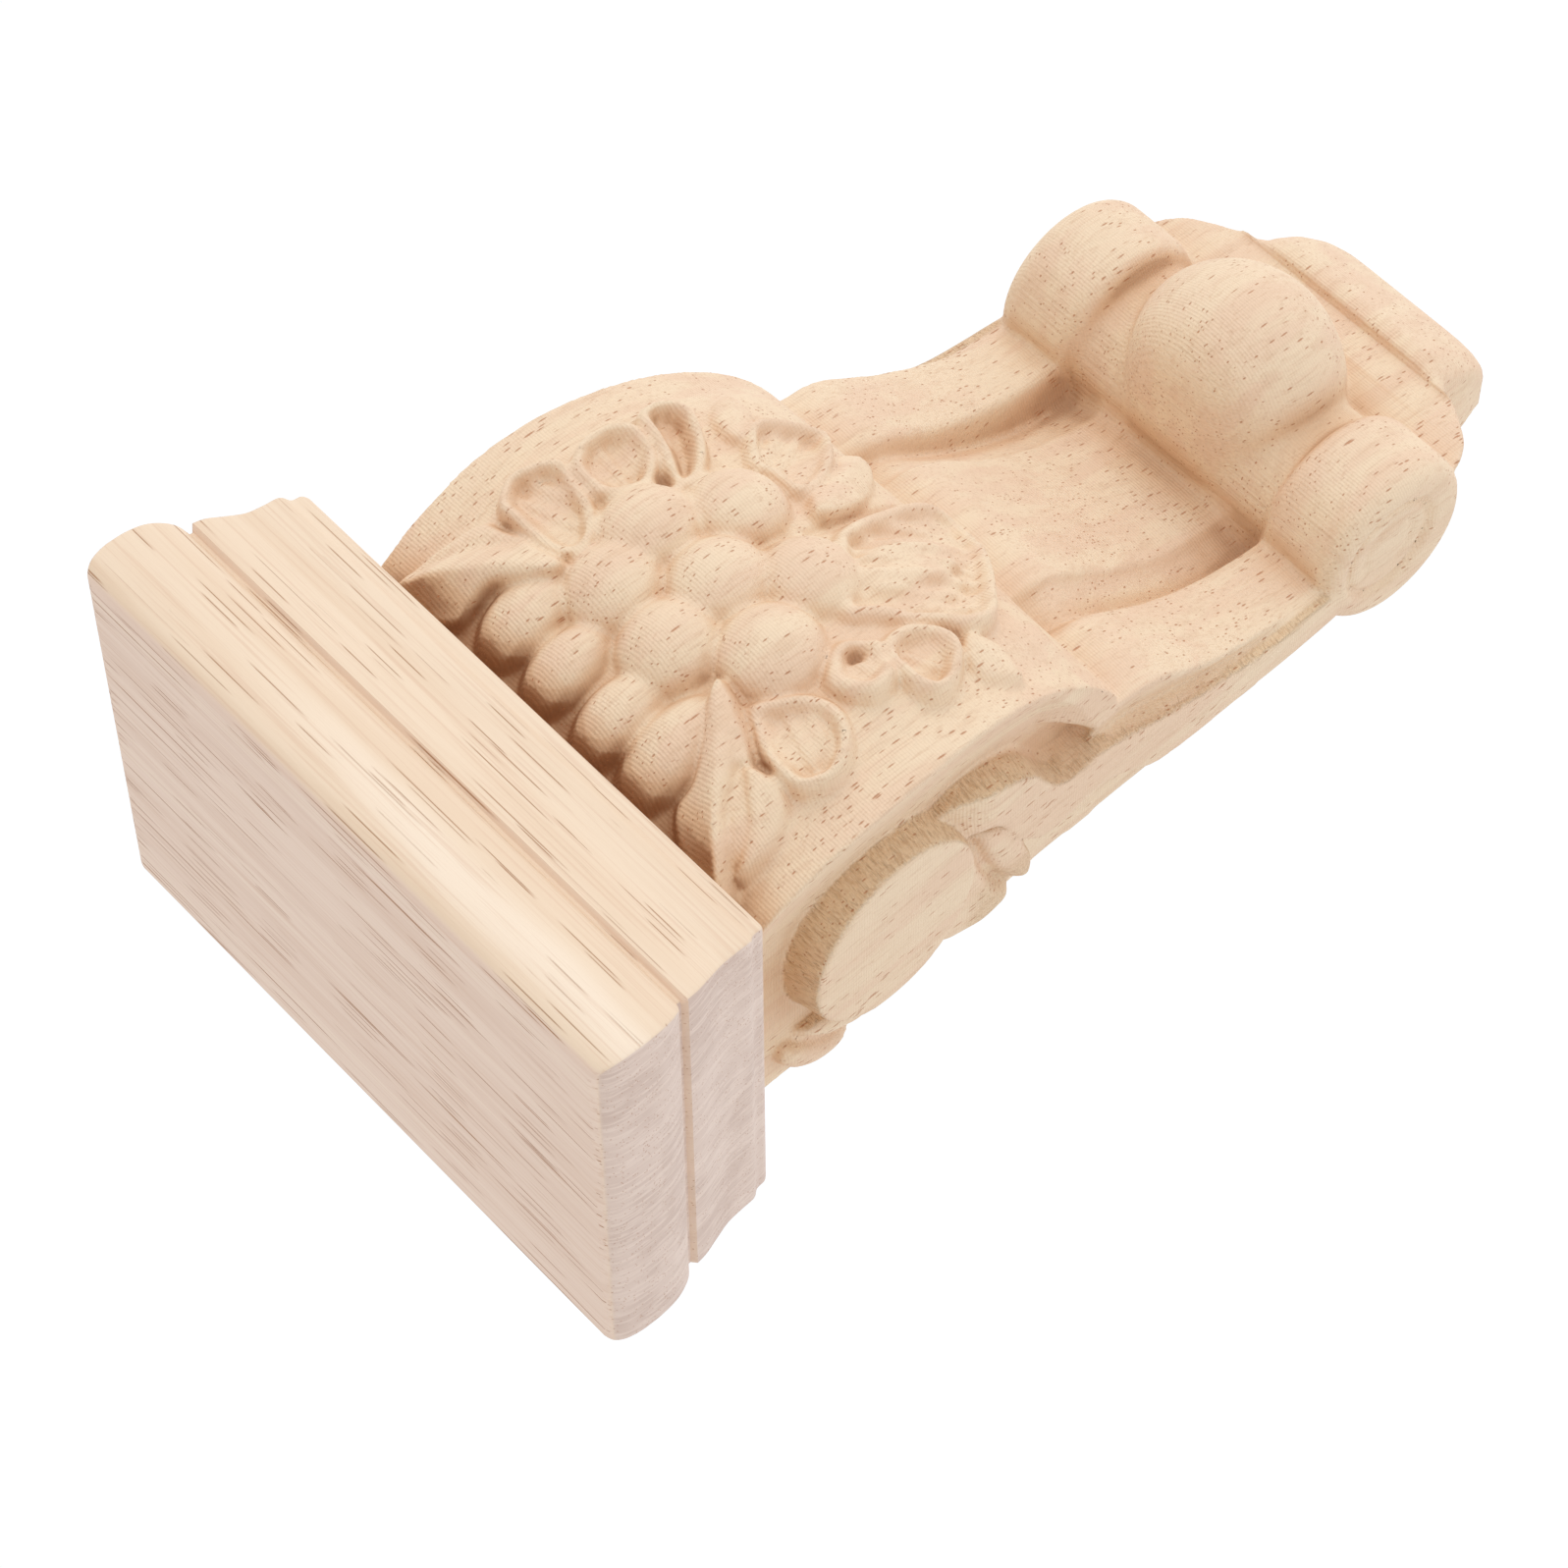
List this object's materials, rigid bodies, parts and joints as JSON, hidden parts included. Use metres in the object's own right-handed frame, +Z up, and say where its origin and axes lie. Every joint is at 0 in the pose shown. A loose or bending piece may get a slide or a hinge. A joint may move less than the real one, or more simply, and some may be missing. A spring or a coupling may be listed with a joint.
{
  "type": "carved wooden corbel",
  "caption": "Unfinished wooden wall bracket: a moulded cap board on a scroll body carved with grapes, leaves, flutes and volutes.",
  "frame": {"origin": "fixing point on the flat back of the carved body, on the centre line, 75 mm below the top of the cap", "axes": "+Z up, +Y into the wall, the carved front looks to -Y"},
  "size_m": [0.1, 0.0645, 0.19],
  "materials": {
    "cap_wood": "bare rubberwood, sanded, grain across",
    "body_wood": "bare rubberwood, straight from the carving tool, grain upright"
  },
  "bodies": {
    "root": {"moulded_cap": "cap_wood", "carved_body": "body_wood"}
  },
  "joints": []
}
